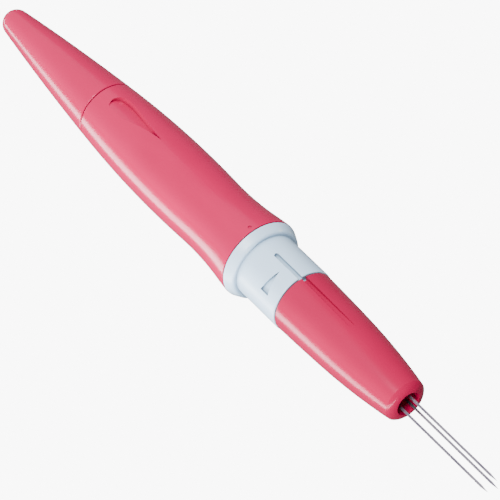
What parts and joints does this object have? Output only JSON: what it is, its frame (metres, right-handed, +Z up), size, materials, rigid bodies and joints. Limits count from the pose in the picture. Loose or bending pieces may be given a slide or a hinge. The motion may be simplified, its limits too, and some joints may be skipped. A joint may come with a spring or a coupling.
{
  "type": "needle felting tool",
  "caption": "Pen-style needle felting tool with a barrel grip, turning neck, pull-off nose and barbed felting needles.",
  "frame": {"origin": "middle of the bounding box at its bottom, straight under the tool's axis", "axes": "+X along the tool towards the needle points, +Z up through the finger mark, +Y across"},
  "size_m": [0.1474, 0.0162, 0.0161],
  "materials": {
    "grip_plastic": "smooth moulded pink, satin gloss",
    "neck_plastic": "smooth moulded pale blue grey",
    "inner_plastic": "plain white moulding",
    "ring_rubber": "black nitrile",
    "needle_steel": "polished carbon steel wire"
  },
  "bodies": {
    "handle": {"barrel": "grip_plastic", "lock_ring": "inner_plastic"},
    "tail": {"tail_cone": "grip_plastic"},
    "neck": {"neck": "neck_plastic", "friction_ring": "ring_rubber"},
    "cartridge": {"needle_holder": "inner_plastic", "needle_retainer": "inner_plastic", "needle_1": "needle_steel", "needle_2": "needle_steel", "needle_3": "needle_steel"},
    "nose": {"nose": "grip_plastic"}
  },
  "joints": [
    {"name": "tail_pull", "type": "slide", "parent": "handle", "child": "tail", "axis": [-1, 0, 0], "range_m": [0, 0.012]},
    {"name": "neck_turn", "type": "hinge", "parent": "handle", "child": "neck", "pos_m": [0, 0, 0.00807], "axis": [-1, 0, 0], "range_deg": [0, 60]},
    {"name": "cartridge_pull", "type": "slide", "parent": "neck", "child": "cartridge", "axis": [1, 0, 0], "range_m": [0, 0.036]},
    {"name": "nose_pull", "type": "slide", "parent": "cartridge", "child": "nose", "axis": [1, 0, 0], "range_m": [0, 0.056]}
  ]
}
